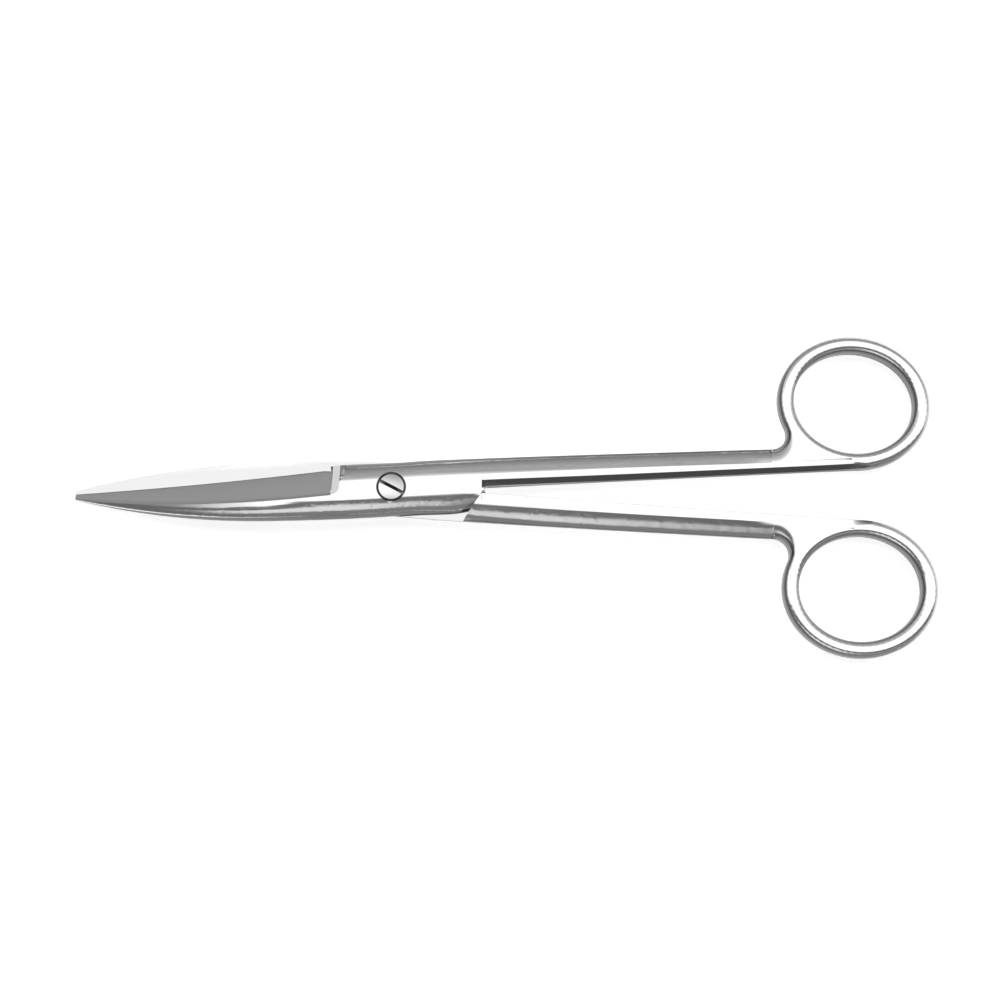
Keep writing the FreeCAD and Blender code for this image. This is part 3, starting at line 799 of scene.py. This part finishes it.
def turned_steel(name, finish):
    """Screw steel: turning rings about its axis, with painted shade in the slot, on the rim and
    over one side of the head.
    """
    material = bpy.data.materials.new(name)
    graph = Graph(material)
    place = graph.drawing_place()
    x, y, z = graph.split(place)
    radius = (x * x + y * y).root()
    finely = graph.combine(radius * TURNING_SCALE, z * TURNING_SCALE, 0.0)
    rings = graph.noise(finely, 1.0, *GRAIN)
    # The slot and the rim are painted dark as shade
    slot = z.fall(*SLOT_FLOOR)
    rim = radius.rise(*SCREW_RIM)
    # One side of the head is painted as shade
    shaded = (x * SHADE_WAY[0] + y * SHADE_WAY[1]).rise(*SHADE_CHANGE)
    lit = graph.blend(shaded, finish.polished_tone, SHADED_TONE)
    # The slot's painted shade, darkest in the middle
    depth = graph.blend(radius.rise(*SLOT_LIGHTENS), SLOT_MIDDLE_SHADE, SLOT_END_SHADE)
    tone = graph.blend(slot, lit, depth)
    tone = graph.blend(rim * (1 - slot), tone, SCREW_RIM_SHADE)
    roughness = finish.polished_roughness + rings * TURNING_BLUR + slot * SLOT_BLUR
    normal = graph.bump(rings, TURNING_DEPTH)
    graph.finish_metal({"Base Color": tone, "Roughness": roughness, "Normal": normal})
    return material


class SCISSORS_OT_finish_halves(bpy.types.Operator):
    """Polish the two forged halves and grind their bevels and meeting faces"""

    bl_idname = "scissors.finish_halves"
    bl_label = "Finish the halves"

    def execute(self, context):
        scene = context.scene
        sizes = (scene.scissors_blade, scene.scissors_handle, scene.scissors_steel)
        for node, is_upper in (("top_half", True), ("bottom_half", False)):
            dress(node, forged_steel(node + "_steel", is_upper, *sizes))
        return {"FINISHED"}


class SCISSORS_OT_finish_screw(bpy.types.Operator):
    """Give the joint screw its turned finish"""

    bl_idname = "scissors.finish_screw"
    bl_label = "Finish the screw"

    def execute(self, context):
        dress("joint_screw", turned_steel("joint_screw_steel", context.scene.scissors_steel))
        return {"FINISHED"}


# Studio

# In metres, and the view's target in millimetres in the drawing frame
FLOOR_SIZE = 4.0
PAPER_GLOW = 0.6
KEY_SIZE = (1.6, 0.42)
KEY_DISTANCE = 1.1
KEY_TILT = math.radians(12.0)
KEY_STRENGTH = 1.1
VIEW_TARGET = Vector((22.2, -1.9, 0.0))
NEAREST_SEEN = 0.01

# Brightness of the studio by the angle from straight above, in degrees: towards the upper
# ring, then towards the finger rings' end, and a strip light that fades along the pair
BANDS_ACROSS = (
    (-180, 0.9), (-92, 0.9), (-88, 0.22), (-24, 0.2), (-20, 0.14), (-4, 0.15), (0.5, 1.3),
    (19.5, 1.3), (23, 0.72), (35, 0.52), (50, 0.36), (86, 0.18), (92, 0.9), (180, 0.9),
)
BANDS_ALONG = (
    (-180, 0.9), (-92, 0.9), (-88, 0.13), (-50, 0.16), (-40, 0.3), (-31, 0.8), (-22, 1.3),
    (45, 1.3), (60, 0.5), (86, 0.4), (92, 0.9), (180, 0.9),
)
STRIP_ACROSS = ((-180, 0), (-56, 0), (-51, 1), (-27, 1), (-22, 0), (180, 0))
STRIP_ALONG = (
    (-180, 0.62), (1, 0.62), (4, 0.38), (7.5, 0.3), (13, 0.07), (60, 0.05), (180, 0.05),
)


def light_world(world):
    graph = Graph(world)
    source = graph.wire(graph.add("ShaderNodeTexCoord"), "Generated")
    turned = graph.add(
        "ShaderNodeMapping",
        {"vector_type": "TEXTURE"},
        {"Vector": source, "Rotation": Euler((0, REST_TURN, 0))},
    )
    x, y, z = graph.split(graph.wire(turned))
    across = y.angle_from(z)
    along = x.angle_from(z)
    strip = graph.ramp(across, STRIP_ACROSS) * graph.ramp(along, STRIP_ALONG)
    light = (graph.ramp(across, BANDS_ACROSS) + strip).at_most(graph.ramp(along, BANDS_ALONG))
    background = graph.add("ShaderNodeBackground", None, {"Color": light})
    end = graph.add("ShaderNodeOutputWorld")
    graph.tree.links.new(background.outputs[0], end.inputs["Surface"])


def lay_floor(tone):
    bpy.ops.mesh.primitive_plane_add(size=FLOOR_SIZE, location=(0, 0, 0))
    floor = bpy.context.object
    floor.name = "studio_floor"
    material = bpy.data.materials.new("studio_paper")
    graph = Graph(material)
    rays = graph.add("ShaderNodeLightPath")
    seen = graph.wire(rays, "Is Camera Ray")
    seen = seen.at_least(graph.wire(rays, "Is Glossy Ray"))
    seen = seen.at_least(graph.wire(rays, "Is Transmission Ray"))
    paper = graph.add("ShaderNodeBsdfDiffuse", None, {"Color": (tone, tone, tone, 1.0)})
    glow = graph.add(
        "ShaderNodeEmission", None, {"Color": (1.0, 1.0, 1.0, 1.0), "Strength": seen * PAPER_GLOW}
    )
    both = graph.add("ShaderNodeAddShader")
    graph.tree.links.new(paper.outputs[0], both.inputs[0])
    graph.tree.links.new(glow.outputs[0], both.inputs[1])
    end = graph.add("ShaderNodeOutputMaterial")
    graph.tree.links.new(both.outputs[0], end.inputs["Surface"])
    floor.data.materials.append(material)


def hang_key_lamp():
    lamp = bpy.data.lights.new("key_softbox", "AREA")
    lamp.shape = "RECTANGLE"
    lamp.size, lamp.size_y = KEY_SIZE
    lamp.energy = KEY_STRENGTH * math.pi * lamp.size * lamp.size_y
    holder = bpy.data.objects.new("key_softbox", lamp)
    bpy.context.scene.collection.objects.link(holder)
    direction = Vector((0, math.sin(KEY_TILT), math.cos(KEY_TILT)))
    holder.location = direction * KEY_DISTANCE
    holder.rotation_euler = direction.to_track_quat("Z", "Y").to_euler()
    # The world's bands already hold the panel that the steel mirrors
    holder.visible_glossy = False


def set_camera(setup):
    """The camera looks at the pair a little from the lower ring's side."""
    drawing = Matrix.Translation(PIVOT) @ Matrix.Rotation(REST_TURN, 4, "Y")
    target = VIEW_TARGET * MILLIMETRE
    back = Vector((0, -math.sin(setup.view_tilt), math.cos(setup.view_tilt)))
    across = Vector((1, 0, 0))
    above = back.cross(across)
    right = across * math.cos(setup.view_roll) + above * math.sin(setup.view_roll)
    up = back.cross(right)
    turn = Matrix((right, up, back)).transposed().to_4x4()
    data = bpy.data.cameras.new("catalogue_camera")
    data.lens = setup.focal_length
    data.clip_start = NEAREST_SEEN
    camera = bpy.data.objects.new("catalogue_camera", data)
    bpy.context.scene.collection.objects.link(camera)
    spot = Matrix.Translation(target + back * setup.view_distance)
    camera.matrix_world = drawing @ spot @ turn
    bpy.context.scene.camera = camera


class SCISSORS_OT_set_stage(bpy.types.Operator):
    """Lay the floor, hang the light and place the camera"""

    bl_idname = "scissors.set_stage"
    bl_label = "Set the stage"

    def execute(self, context):
        setup = context.scene.scissors_studio
        bpy.ops.object.select_all(action="DESELECT")
        lay_floor(setup.floor_tone)
        world = bpy.data.worlds.new("studio_world")
        context.scene.world = world
        light_world(world)
        hang_key_lamp()
        set_camera(setup)
        context.scene.view_settings.view_transform = "Standard"
        return {"FINISHED"}


class SCISSORS_PT_dresser(bpy.types.Panel):
    """Sizes, finishes and steps of the pair"""

    bl_idname = "SCISSORS_PT_dresser"
    bl_label = "Tonsil scissors"
    bl_space_type = "VIEW_3D"
    bl_region_type = "UI"
    bl_category = "Scissors"

    def draw(self, context):
        for holder in HOLDERS:
            group = getattr(context.scene, holder)
            for name in group.__annotations__:
                self.layout.prop(group, name)
        for step in STEPS:
            self.layout.operator(step.bl_idname)


HOLDERS = {
    "scissors_blade": BladeSizes,
    "scissors_handle": HandleSizes,
    "scissors_steel": SteelFinish,
    "scissors_studio": StudioSetup,
}
STEPS = (SCISSORS_OT_finish_halves, SCISSORS_OT_finish_screw, SCISSORS_OT_set_stage)
CLASSES = (*HOLDERS.values(), *STEPS, SCISSORS_PT_dresser)


def register():
    for kind in CLASSES:
        bpy.utils.register_class(kind)
    for holder, kind in HOLDERS.items():
        setattr(bpy.types.Scene, holder, bpy.props.PointerProperty(type=kind))


def unregister():
    for holder in HOLDERS:
        delattr(bpy.types.Scene, holder)
    for kind in reversed(CLASSES):
        bpy.utils.unregister_class(kind)


def main():
    register()
    bpy.ops.scissors.finish_halves()
    bpy.ops.scissors.finish_screw()
    bpy.ops.scissors.set_stage()


if __name__ == "__main__":
    main()
